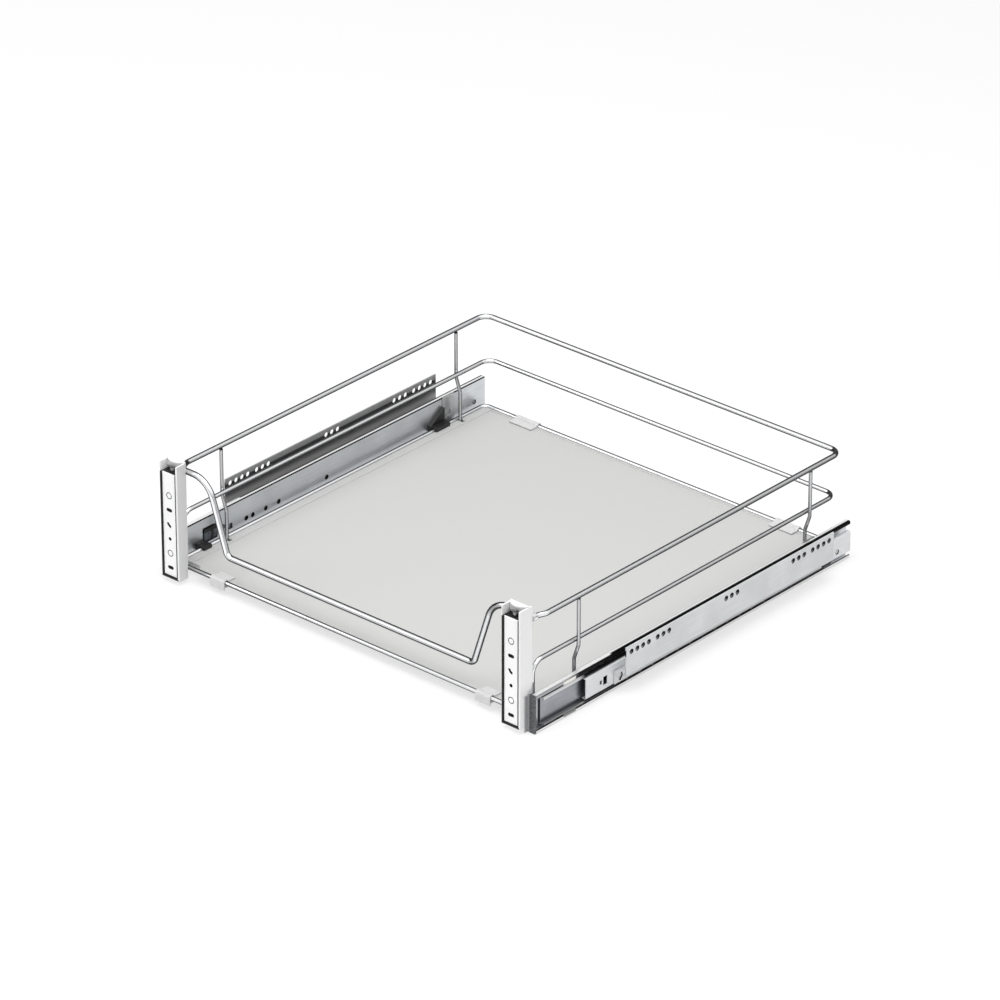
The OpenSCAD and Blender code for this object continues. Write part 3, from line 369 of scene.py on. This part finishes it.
def rgb(v, tint=(0, 0, 0)):
    """A grey of that sRGB value, 0 to 255, with a small tint, as linear colour."""
    s = (np.clip(v + np.asarray(tint, float), 0, 255)) / 255
    lin = np.where(s <= 0.04045, s / 12.92, ((s + 0.055) / 1.055) ** 2.4)
    return (*lin.tolist(), 1.0)


def zinc(name, tone, tint=(0, 0, 0), rough=0.36, metallic=1.0, overlay=None):
    """Zinc plated sheet: satin metal with rolling lines, slow clouds of tone and brighter corners. The
    overlay lays further tones over it by place, such as the painted shade and painted highlights on the
    races."""
    mat, tree, shader, place = material(name)
    grain = effect(tree, SHEET_GRAIN, (("Vector", place), ("Fineness", 900.0)))
    edge = effect(tree, WORN_EDGE, (("Vector", place), ("Breakup", 300.0)))
    base = tinted(tree, spread(tree, grain["Clouds"], 0.35, 0.65), rgb(tone - 6, tint), rgb(tone + 6, tint))
    base = tinted(tree, spread(tree, grain["Lines"], 0.4, 0.6, 0.0, 0.35), base, rgb(tone - 14, tint))
    base = toned(tree, base, both(tree, edge["Worn"], 0.6), min(tone + 30, 250))
    if overlay:
        base = overlay(tree, base, place)
    shader.inputs["Metallic"].default_value = metallic
    finish(tree, shader, base, spread(tree, grain["Lines"], 0.3, 0.7, rough - 0.07, rough + 0.09),
           bump(tree, grain["Lines"], edge["Round"], 0.12, 0.12))
    return mat


def basket_member_painted_light(tree, base, place):
    """Basket member, painted light and shade: a painted grey shade on the upper lip, with a near-black
    painted shadow on it behind the front end, a painted pale highlight on the lower lip, a painted bright
    highlight on the top, painted dark shade in the folds, painted dark rings of shade round the web's holes
    and painted dark lines along the crown."""
    side, depth, height, _ = axes(tree, place)
    m = BASKET_MEMBER
    lip = between(tree, side, m["lip_x"])
    upper = both(tree, lip, between(tree, height, m["upper_lip_z"]))
    film = spread(tree, depth, *m["lip_shadow_y"])
    # Painted shade: the upper lip greyed, then a near-black painted shadow (the film tone) behind the front
    # end
    base = toned(tree, base, both(tree, upper, 0.75), TONE["upper_lip"])
    base = toned(tree, base, both(tree, upper, film), TONE["film"])
    # Painted pale highlight on the lower lip, and painted dark shade along its lowest edge and its fold
    for zone in ("lower_lip", "lowest", "lower_fold"):
        base = toned(tree, base, both(tree, lip, between(tree, height, m[zone + "_z"])), TONE[zone])
    # Painted shade: dark rings round the web's holes
    rings = either(tree, *[disc(tree, depth, height, hole, m["hole_r"]) for hole in WEB_HOLES])
    base = toned(tree, base, both(tree, rings, between(tree, side, m["web_x"])), TONE["hole_shade_ring"])
    # Painted bright highlight on the top, and painted dark lines of shade along the crown
    base = toned(tree, base, between(tree, height, m["top_z"], 0.05), TONE["top"])
    crown = between(tree, height, m["crown_z"], 0.1)
    inner = both(tree, crown, between(tree, side, m["crown_inner_x"]))
    outer = both(tree, crown, spread(tree, depth, *m["bracket_y"]), between(tree, side, m["crown_outer_x"]))
    return toned(tree, toned(tree, base, inner, TONE["crown_inner"]), outer, TONE["crown_outer"])


def middle_member_painted_light(tree, base, place):
    """Middle member, painted light and shade: a painted pale highlight on its lips, a painted dark shadow on
    them behind the front end, a painted grey shade on the lower lip in front of that, and a painted dark
    inner face at the front end.
    """
    side, depth, height, _ = axes(tree, place)
    m = MIDDLE_MEMBER
    lip = between(tree, side, m["lip_x"])
    # Painted highlight on the lips, and a painted dark shadow on them behind the front end
    base = toned(tree, base, both(tree, lip, 0.8), TONE["middle_lip"])
    base = toned(tree, base, both(tree, lip, spread(tree, depth, *m["lip_shadow_y"])), TONE["middle_member_painted_light"])
    # Painted grey shade on the lower lip in front of the shadow
    clean = spread(tree, depth, *m["lip_shadow_y"], 1.0, 0.0)
    lower_lip = both(tree, lip, between(tree, height, m["lower_lip_z"]), clean)
    base = toned(tree, base, lower_lip, TONE["middle_lower_lip"])
    # Painted dark shade on the inner face of the web at the front end
    web_end = both(tree, between(tree, side, m["web_back_x"]), spread(tree, depth, *m["front_end_y"]))
    return toned(tree, base, web_end, TONE["web_end"])


def rear_hole(tree, base, place):
    """Cabinet members: a painted dark ring of shade round the rear hole."""
    _, depth, height, _ = axes(tree, place)
    return toned(tree, base, disc(tree, depth, height, **REAR_HOLE), TONE["hole_shade_ring"])


def bracket_holes(tree, base, place):
    """Mounting brackets: the walls of the screw holes and of the key hole lie in the dark."""
    side, depth, height, _ = axes(tree, place)
    b = BRACKET
    row = both(tree, between(tree, side, b["plate_x"]), between(tree, height, b["row_z"]))
    key = both(tree, between(tree, side, b["leg_x"]), between(tree, height, b["key_z"]),
               between(tree, depth, b["key_y"]))
    return toned(tree, base, both(tree, walls(tree, "X"), either(tree, row, key)), TONE["hole_wall"])


def inner_shade(tree, base, place):
    """Left bracket: its inner faces and hole walls are darker than the face that lies on the cabinet's side,
    with a dark band halfway up that fades downwards."""
    _, _, height, x = axes(tree, place)
    b = BRACKET
    shade = tinted(tree, spread(tree, height, *b["fade_z"]), rgb(TONE["inner_low"]), rgb(TONE["inner_high"]))
    shade = toned(tree, shade, spread(tree, height, *b["band_foot_z"]), TONE["band"])
    shade = toned(tree, shade, spread(tree, height, *b["band_top_z"]), TONE["inner_top"], (0, 1, 1))
    base = tinted(tree, spread(tree, x, *b["inner_x"]), base, shade)
    return bracket_holes(tree, base, place)


def plate_shade(tree, base, place):
    """Slide bracket: pale beside the post, dark and mottled towards the slide."""
    side = axes(tree, place)[0]
    mottle = spread(tree, noise(tree, place, 380.0, 2.0), 0.35, 0.65)
    dark = tinted(tree, mottle, rgb(TONE["plate_dark"], (0, 1, 4)), rgb(TONE["plate_pale"], (0, 1, 3)))
    return tinted(tree, spread(tree, side, *SLIDE_BRACKET_DARK_X), base, dark)


def painted(name, tone, overlay, rough=0.4):
    """Powder coat: fine orange peel, a few tiny specks, slightly paler worn corners."""
    mat, tree, shader, place = material(name)
    spots = effect(tree, SPECKLE, (("Vector", place), ("Density", 420.0)))
    edge = effect(tree, WORN_EDGE, (("Vector", place), ("Breakup", 250.0)))
    base = tinted(tree, spread(tree, noise(tree, place, 9.0, 3.0), 0.35, 0.65), rgb(tone - 2), rgb(tone + 2))
    base = toned(tree, base, both(tree, spots["Specks"], 0.25), tone - 60)
    base = toned(tree, base, both(tree, edge["Worn"], 0.25), min(tone + 14, 252))
    finish(tree, shader, overlay(tree, base, place),
           spread(tree, spots["Peel"], 0.3, 0.7, rough - 0.05, rough + 0.05),
           bump(tree, spots["Peel"], edge["Round"], 0.08, 0.15))
    return mat


def post_painted_shade(tree, base, place):
    """Posts, painted shade: a black line along the opening's left and lower edge, where its inside lies in
    shadow, and a greyer, shaded inner side on the left post."""
    side, _, height, x = axes(tree, place)
    post = POST
    upright = either(tree, *[between(tree, x, post[key], 0.1) for key in ("right_line_x", "left_line_x")])
    low = both(tree, between(tree, height, post["low_line_z"], 0.1),
               between(tree, side, post["low_line_x"], 0.1))
    # Painted shade on the left post's inner side
    base = toned(tree, base, between(tree, x, post["left_inner_x"], 0.05), TONE["post_inner_shade"])
    # Painted shadow: a black line along the opening's left and lower edges
    line = both(tree, either(tree, upright, low), between(tree, height, post["lines_z"]))
    return toned(tree, base, line, TONE["post_shade_line"])


def dark_holes(tree, base, place):
    """Face plates: the walls of the holes lie in the dark."""
    side, _, height, _ = axes(tree, place)
    within = both(tree, between(tree, side, FACE_PLATE["x"]), between(tree, height, FACE_PLATE["z"]))
    return toned(tree, base, both(tree, walls(tree, "Y"), within), TONE["plate_hole"])


def dark_rims(tree, base, place):
    """Rivet heads: the rims lie in the dark of their holes."""
    return toned(tree, base, walls(tree, "Y"), TONE["plate_hole"])


def skin(tree, shader, base, rough, peel, spots, edge):
    """The spark-eroded skin of a moulding over its colour: uneven gloss, a fine peel and rounded corners."""
    finish(tree, shader, base, spread(tree, spots["Peel"], 0.3, 0.7, *rough),
           bump(tree, spots["Peel"], edge["Round"], peel, 0.2))


def moulded(name, tone, tint=(0, 0, 0), rough=0.45, peel=0.12, overlay=None):
    """Moulded plastic: fine spark-eroded skin, softly worn corners."""
    mat, tree, shader, place = material(name)
    spots = effect(tree, SPECKLE, (("Vector", place), ("Density", 700.0)))
    edge = effect(tree, WORN_EDGE, (("Vector", place), ("Breakup", 400.0)))
    base = tinted(tree, both(tree, spots["Specks"], 0.2), rgb(tone, tint), rgb(tone + 14, tint))
    base = toned(tree, base, both(tree, edge["Worn"], 0.3), min(tone + 34, 250), tint)
    if overlay:
        base = overlay(tree, base, place)
    skin(tree, shader, base, (rough - 0.06, rough + 0.08), peel, spots, edge)
    return mat


def lever_moulding(name):
    """Release lever: black moulding whose web shows blue-grey below its dark upper bar."""
    mat, tree, shader, place = material(name)
    _, depth, height, _ = axes(tree, place)
    spots = effect(tree, SPECKLE, (("Vector", place), ("Density", 700.0)))
    edge = effect(tree, WORN_EDGE, (("Vector", place), ("Breakup", 400.0)))
    web = between(tree, height, LEVER["web_z"])
    base = tinted(tree, web, rgb(TONE["lever_dark"]), rgb(TONE["lever_web"], (-6, 0, 6)))
    base = toned(tree, base, between(tree, depth, LEVER["bar_y"]), TONE["lever_bar"])
    base = toned(tree, base, both(tree, edge["Worn"], 0.3), TONE["lever_worn"])
    skin(tree, shader, base, (0.4, 0.55), 0.12, spots, edge)
    return mat


def lower_pads(tree, base, place):
    """Front buffers: the lower pads are greyer."""
    return toned(tree, base, spread(tree, axes(tree, place)[2], *LOWER_PADS_Z), TONE["lower_pad_grey"])


def weld_marks(tree, base, place):
    """Cross wires: dark scale of the weld under the top ring."""
    return toned(tree, base, spread(tree, axes(tree, place)[2], *WELD_MARK_Z), TONE["weld_scale"])


def chrome(name, tone=252, rough=0.07, painted_edge_reflection=10, wide=(0.2, 0.42), metallic=0.72, overlay=None):
    """Bright chrome plate: mirror-like, with faint clouds of roughness and a few pits. Its colour is painted
    darker where the surface turns away from the eye: a painted reflection of the room's dark along a round
    wire's edges."""
    mat, tree, shader, place = material(name)
    pits = effect(tree, SPECKLE, (("Vector", place), ("Density", 900.0)))["Specks"]
    cloud = noise(tree, place, 55.0, 4.0)
    turned = add(tree, "ShaderNodeLayerWeight", (("Blend", 0.5),)).outputs["Facing"]
    base = tinted(tree, both(tree, pits, 0.4), rgb(tone, (-1, 0, 2)), rgb(tone - 60))
    # Painted reflection: the colour darkens towards the edges that turn from the eye
    base = toned(tree, base, spread(tree, turned, *wide), painted_edge_reflection, (1, 1, 3))
    if overlay:
        base = overlay(tree, base, place)
    shader.inputs["Metallic"].default_value = metallic
    finish(tree, shader, base, spread(tree, cloud, 0.35, 0.7, rough - 0.02, rough + 0.06),
           bump(tree, cloud, None, 0.03, 0.2))
    return mat


def milky(name, tone):
    """Milky white plastic of the tray clips: slow clouds in its tone and gloss, softly worn corners."""
    mat, tree, shader, place = material(name)
    cloud = noise(tree, place, 160.0, 3.0)
    edge = effect(tree, WORN_EDGE, (("Vector", place), ("Breakup", 300.0)))
    base = tinted(tree, spread(tree, cloud, 0.3, 0.7), rgb(tone - 3), rgb(tone + 3))
    base = toned(tree, base, both(tree, edge["Worn"], 0.3), min(tone + 16, 252))
    finish(tree, shader, base, spread(tree, cloud, 0.3, 0.7, 0.28, 0.4),
           bump(tree, cloud, edge["Round"], 0.06, 0.3))
    return mat


# Finishes, by the record's material slots, with sRGB tones
FINISH = {
    "bracket_zinc": zinc("zinc on the mounting brackets", 211, (-1, 1, 2), metallic=0.35,
                         overlay=bracket_holes),
    "cabinet_member_zinc": zinc("bright zinc on the cabinet members", 226, (-1, 0, 2), rough=0.4,
                                metallic=0.3, overlay=rear_hole),
    "middle_member_zinc": zinc("zinc on the middle members", 160, (-3, -1, 5), overlay=middle_member_painted_light),
    "basket_member_zinc": zinc("zinc on the basket members", 214, (-3, 0, 3), overlay=basket_member_painted_light),
    "hook_zinc": zinc("zinc on the hooks", 205, (-1, 0, 1)),
    "rivet_steel": zinc("rivet steel", 205, rough=0.3),
    "screw_steel": zinc("screw steel", 150, rough=0.35),
    "sleeve_zinc": zinc("zinc on the sleeves", 235, rough=0.2),
    "ball_steel": chrome("ball steel", 225, rough=0.12, painted_edge_reflection=60, wide=(0.4, 0.8), metallic=1.0),
    "black_plastic": moulded("black plastic", 24),
    "pale_plastic": moulded("pale plastic", 236, (2, 1, -4)),
    "cap_plastic": moulded("white cap plastic", 232, rough=0.3, peel=0.06),
    "face_paint": painted("white paint on the face plates", 242, overlay=dark_holes),
    "post_paint": painted("white paint on the posts", 237, overlay=post_painted_shade),
    "tray_plastic": moulded("grey plastic of the tray", 190, (0, 0, -1), rough=0.5, peel=0.1),
    "clip_plastic": milky("milky clip plastic", 204),
    "wire_chrome": chrome("chrome on the wires"),
}

# Pieces whose finish differs from their slot's, by the end of the piece's name
OWN_FINISH = {
    "left_mounting_bracket": zinc("zinc on the left bracket", 211, (-1, 1, 2), metallic=0.5,
                                  overlay=inner_shade),
    "slide_bracket": zinc("zinc on the slide brackets", 205, (0, 0, 2), metallic=0.4, overlay=plate_shade),
    # The post inserts' near-black matte finish is painted shade: it stands in for the dark inside of the
    # posts
    "post_insert": moulded("shade black of the post inserts", 6, rough=0.8, peel=0.05),
    "release_lever": lever_moulding("lever plastic"),
    "face_rivets": painted("white paint on the face rivets", 242, overlay=dark_rims),
    "cross_wire": chrome("chrome on the cross wires", tone=205, wide=(0.12, 0.5), overlay=weld_marks),
    "front_buffers": moulded("pale plastic of the front buffers", 236, (2, 1, -4), overlay=lower_pads),
}


def finish_for(node, slot):
    """The finish of a node: its own where it has one, or else its slot's."""
    own = [mat for ending, mat in OWN_FINISH.items() if node.endswith(ending)]
    return own[0] if own else FINISH[slot]


def dress(obj, node, slot):
    """Gives a piece the finish of the node that it is or stands for."""
    obj.data.materials.clear()
    obj.data.materials.append(finish_for(node, slot))


def wire_piece(node, *shape, slot="wire_chrome"):
    """A drawn wire that stands for a node of the same name."""
    obj = round_wire(node + "_drawn", *shape)
    dress(obj, node, slot)
    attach(obj, "basket")
    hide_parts(node)


# The solids' finishes
for part in frame["record"]["subparts"]:
    dress(frame["nodes"][part["node"]], part["node"], part["material_slot"])

# Wires, each given by the corners of its left half
wire_piece("top_ring",
           mirrored([(-RING["end_x"], RING["end_y"], RING["z"]),
                     (-RING["end_x"], RING["jog"] - RING["jog_len"], RING["z"]),
                     (-RING["x"], RING["jog"], RING["z"]),
                     (-RING["x"], RING["rear"], RING["z"])]),
           RING["d"], there_and_back([RING["jog_bend"], RING["jog_bend"], RING["bend"]]))
leg_foot = BASE["z"] + BASE["d"] / 2 + WELD_GAP
wire_piece("lower_ring",
           mirrored([(-LOWER["x"], LOWER["leg_y"], leg_foot),
                     (-LOWER["x"], LOWER["leg_y"], LOWER["z"]),
                     (-LOWER["x"], RING["rear"], LOWER["z"])]),
           LOWER["d"], there_and_back([LOWER["bend"], RING["bend"]]))
wire_piece("dip_wire",
           mirrored([(-DIP["end_x"], DIP["y"], DIP["end_z"]),
                     (-DIP["high_x"], DIP["y"], DIP["end_z"]),
                     (-DIP["low_x"], DIP["y"], DIP["low_z"])]),
           DIP["d"], there_and_back(DIP["bends"]))
wire_piece("base_frame",
           mirrored([(-BASE["x"], CARRIER_REAR + 2 * WELD_GAP, BASE["z"]),
                     (-BASE["x"], BASE["rear"], BASE["z"])]),
           BASE["d"], there_and_back([BASE["bend"]]))
wire_piece("front_base_wire", mirrored([(-DIP["end_x"], BASE["front"], BASE["z"])]), BASE["d"])
under_ring = RING["z"] - RING["d"] / 2 - WELD_GAP
kink = LOWER["z"] - LOWER["d"]
kink_end = kink - CROSS["lean"] * (CROSS["x"] - CROSS["foot_x"])
under_tray = TRAY_UNDERSIDE - WELD_GAP - CROSS["d"] / 2
for name, y in zip(("front_cross_wire", "rear_cross_wire"), CROSS["y"]):
    wire_piece(name,
               mirrored([(-CROSS["x"], y, under_ring), (-CROSS["x"], y, kink),
                         (-CROSS["foot_x"], y, kink_end), (-CROSS["foot_x"], y, under_tray)]),
               CROSS["d"], there_and_back([CROSS["kink"], CROSS["kink"], CROSS["foot"]]))


# Studio
def studio_world():
    """Soft white room: a pale sky, dim at the horizon, brighter in reflections and plain white for the
    camera."""
    world = bpy.data.worlds.new("studio")
    bpy.context.scene.world = world
    world.use_nodes = True
    tree = world.node_tree
    tree.nodes.clear()
    way = add(tree, "ShaderNodeTexCoord").outputs["Generated"]
    up = add(tree, "ShaderNodeSeparateXYZ", ((0, way),)).outputs["Z"]
    ramp = add(tree, "ShaderNodeValToRGB", ((0, spread(tree, up, -1, 1)),))
    stops = ((0.0, 0.75), (0.47, 0.55), (0.5, 0.22), (0.6, 0.3), (0.72, 0.95), (1.0, 1.0))
    while len(ramp.color_ramp.elements) < len(stops):
        ramp.color_ramp.elements.new(0.5)
    for element, (at, value) in zip(ramp.color_ramp.elements, stops):
        element.position = at
        element.color = (value, value, value, 1)
    path = add(tree, "ShaderNodeLightPath")
    level = spread(tree, path.outputs["Is Glossy Ray"], 0.0, 1.0, 0.58, 0.98)
    room = add(tree, "ShaderNodeBackground", (("Color", ramp.outputs[0]), ("Strength", level)))
    white = add(tree, "ShaderNodeBackground", (("Color", (1, 1, 1, 1)), ("Strength", 1.0)))
    mix = add(tree, "ShaderNodeMixShader", ((0, path.outputs["Is Camera Ray"]), (1, room.outputs[0]),
                                            (2, white.outputs[0])))
    tree.links.new(mix.outputs[0], add(tree, "ShaderNodeOutputWorld").inputs[0])


def studio_floor(half=9.0, drop=0.5 * MM, glow_share=0.68):
    """White floor: a square of four points just under the part. It glows for the camera, in reflections and
    through glass, so that its shadow is light."""
    corners = [(x * half, y * half, -drop) for y in (-1, 1) for x in (-1, 1)]
    mesh = bpy.data.meshes.new("floor")
    mesh.from_pydata(corners, [], [[0, 1, 3, 2]])
    floor = bpy.data.objects.new("floor", mesh)
    bpy.context.scene.collection.objects.link(floor)
    mat, tree, shader, _ = material("floor white")
    shader.inputs["Base Color"].default_value = (0.93, 0.93, 0.93, 1)
    shader.inputs["Roughness"].default_value = 0.9
    shader.inputs["Specular IOR Level"].default_value = 0.0
    glow = add(tree, "ShaderNodeEmission", (("Color", (1, 1, 1, 1)), ("Strength", 1.0)))
    path = add(tree, "ShaderNodeLightPath").outputs
    seen = either(tree, path["Is Camera Ray"], path["Is Glossy Ray"], path["Is Transmission Ray"])
    mix = add(tree, "ShaderNodeMixShader", ((0, both(tree, seen, glow_share)), (1, shader.outputs[0]),
                                            (2, glow.outputs[0])))
    tree.links.new(mix.outputs[0], tree.nodes["Material Output"].inputs["Surface"])
    floor.data.materials.append(mat)


def turn_to(obj, place, right, back):
    """Puts a lamp or camera at place, its right and back sides along those directions."""
    turn = np.eye(4)
    turn[:3, :3] = np.stack([right, np.cross(back, right), back], 1)
    turn[:3, 3] = place
    obj.matrix_world = Matrix(turn.tolist())


def lamp(name, place, size, power):
    """A square soft lamp at place, turned to the part."""
    data = bpy.data.lights.new(name, "AREA")
    data.shape, data.size, data.energy = "SQUARE", size, power
    obj = bpy.data.objects.new(name, data)
    back = unit(place)
    turn_to(obj, place, unit(np.cross((0, 0, 1), back)), back)
    bpy.context.scene.collection.objects.link(obj)


def camera():
    """The photograph's camera: to the right of the front and above, level, with a narrow view."""
    a, e = math.radians(CAMERA["azimuth"]), math.radians(CAMERA["elevation"])
    right = np.array((math.cos(a), math.sin(a), 0))
    back = np.array((math.sin(a) * math.cos(e), -math.cos(a) * math.cos(e), math.sin(e)))
    data = bpy.data.cameras.new("camera")
    data.lens, data.sensor_width, data.sensor_fit = CAMERA["lens"], CAMERA["film"], "HORIZONTAL"
    data.clip_start, data.clip_end = 0.1, 60
    obj = bpy.data.objects.new("camera", data)
    turn_to(obj, CAMERA["place"], right, back)
    bpy.context.scene.collection.objects.link(obj)
    bpy.context.scene.camera = obj


studio_world()
studio_floor()
lamp("over", (0.4, -0.6, 2.6), size=2.4, power=70)
lamp("left", (-2.6, -1.6, 1.6), size=1.8, power=25)
camera()
bpy.context.scene.view_settings.view_transform = "Standard"
